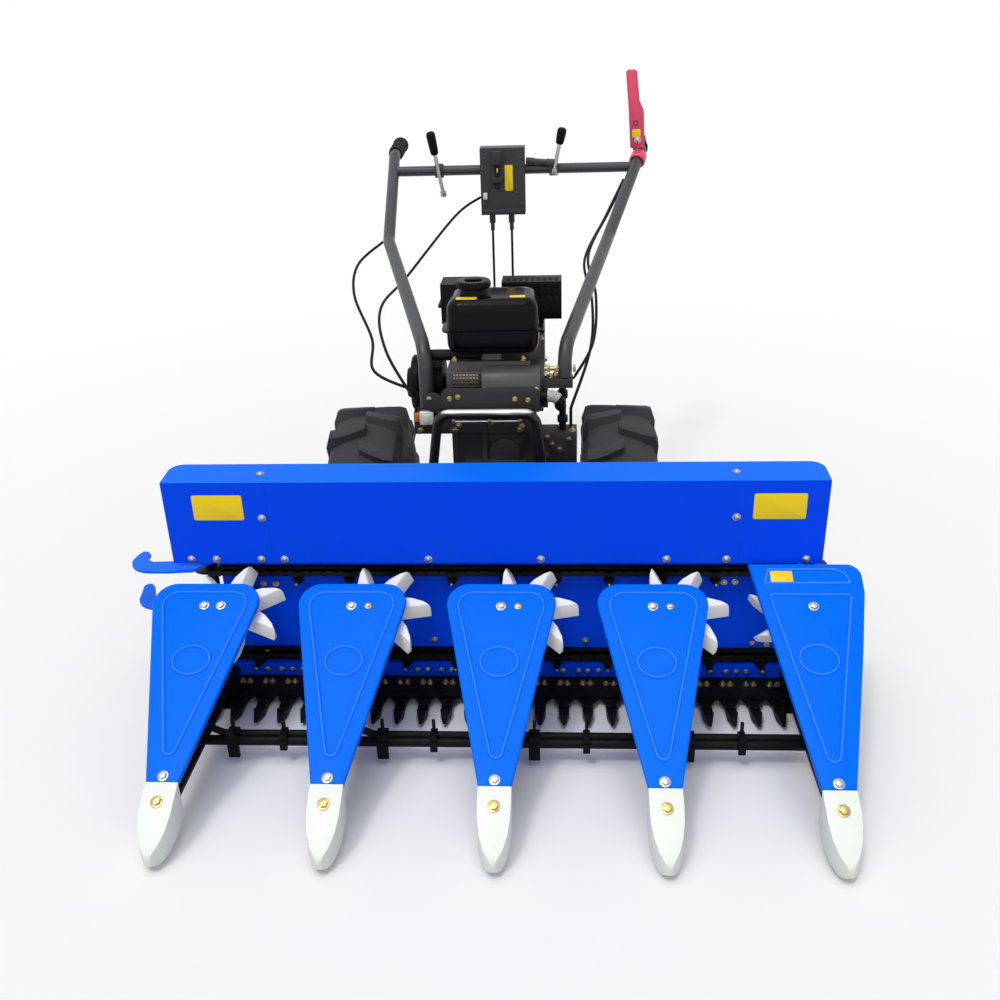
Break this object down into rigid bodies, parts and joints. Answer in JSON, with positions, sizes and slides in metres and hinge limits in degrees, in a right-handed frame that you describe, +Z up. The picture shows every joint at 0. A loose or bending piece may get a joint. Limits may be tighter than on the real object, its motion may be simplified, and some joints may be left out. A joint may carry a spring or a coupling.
{
  "type": "power reaper",
  "caption": "Walk-behind two-wheel power reaper with a five-divider cutting header, star wheels, an open engine and a handlebar.",
  "frame": {"origin": "on the ground under the wheel axle, in the tractor's centre plane, which is also about the middle of the machine's overall length and width", "axes": "+X to the right seen from the front, +Y towards the handlebar's grips, +Z up; the header faces -Y"},
  "size_m": [1.517, 2.0023, 1.206],
  "materials": {
    "shield_blue": "satin powder coat",
    "cover_blue": "glossy paint",
    "tip_plastic": "moulded",
    "star_plastic": "moulded",
    "steel": "ground",
    "cast_black": "painted black",
    "black_plastic": "moulded",
    "tube_grey": "dark grey powder coat",
    "tank_black": "gloss black",
    "lever_red": "dipped",
    "tyre_rubber": "agricultural tread",
    "frame_black": "black powder coat"
  },
  "bodies": {
    "machine": {"header_frame": "frame_black", "header_coupling": "frame_black", "sprocket_shafts": "steel", "back_panel": "shield_blue", "shield_centre": "shield_blue", "shield_left": "shield_blue", "shield_right": "shield_blue", "chain_rails": "frame_black", "upper_chain": "cast_black", "lower_chain": "cast_black", "cutter_beam": "frame_black", "knife_guards": "frame_black", "knife": "steel", "shield_straps": "frame_black", "divider_cover_1": "cover_blue", "divider_cover_2": "cover_blue", "divider_cover_3": "cover_blue", "divider_cover_4": "cover_blue", "divider_cover_5": "cover_blue", "divider_tips": "tip_plastic", "front_frame": "frame_black", "star_brackets": "frame_black", "discharge_hooks": "shield_blue", "gearbox": "cast_black", "engine_mount": "frame_black", "crankcase": "cast_black", "fan_housing": "black_plastic", "air_intake": "black_plastic", "muffler": "tank_black", "fuel_tank": "tank_black", "guard_bar": "tube_grey", "shift_linkage": "cast_black", "handle_left": "tube_grey", "handle_right": "tube_grey", "crossbar": "tube_grey", "grips": "black_plastic", "clutch_lever": "lever_red", "control_box": "black_plastic", "control_levers": "black_plastic", "cables": "black_plastic", "left_cables": "black_plastic", "right_cables": "black_plastic"},
    "wheel_left": {"left_tyre": "tyre_rubber", "left_rim": "frame_black"},
    "wheel_right": {"right_tyre": "tyre_rubber", "right_rim": "frame_black"},
    "star_1": {"star_wheel_1": "star_plastic"},
    "star_2": {"star_wheel_2": "star_plastic"},
    "star_3": {"star_wheel_3": "star_plastic"},
    "star_4": {"star_wheel_4": "star_plastic"},
    "star_5": {"star_wheel_5": "star_plastic"}
  },
  "joints": [
    {"name": "left_wheel_roll", "type": "hinge", "parent": "machine", "child": "wheel_left", "pos_m": [-0.316, 0, 0.245], "axis": [1, 0, 0], "continuous": true},
    {"name": "right_wheel_roll", "type": "hinge", "parent": "machine", "child": "wheel_right", "pos_m": [0.288, 0, 0.245], "axis": [1, 0, 0], "continuous": true},
    {"name": "star_1_turn", "type": "hinge", "parent": "machine", "child": "star_1", "pos_m": [-0.528, -0.53508, 0.2532], "axis": [0, -0.4602, 0.8878], "continuous": true},
    {"name": "star_2_turn", "type": "hinge", "parent": "machine", "child": "star_2", "pos_m": [-0.228, -0.53508, 0.2532], "axis": [0, -0.4602, 0.8878], "continuous": true},
    {"name": "star_3_turn", "type": "hinge", "parent": "machine", "child": "star_3", "pos_m": [0.072, -0.53508, 0.2532], "axis": [0, -0.4602, 0.8878], "continuous": true},
    {"name": "star_4_turn", "type": "hinge", "parent": "machine", "child": "star_4", "pos_m": [0.372, -0.53508, 0.2532], "axis": [0, -0.4602, 0.8878], "continuous": true},
    {"name": "star_5_turn", "type": "hinge", "parent": "machine", "child": "star_5", "pos_m": [0.628, -0.53508, 0.2532], "axis": [0, -0.4602, 0.8878], "continuous": true}
  ]
}
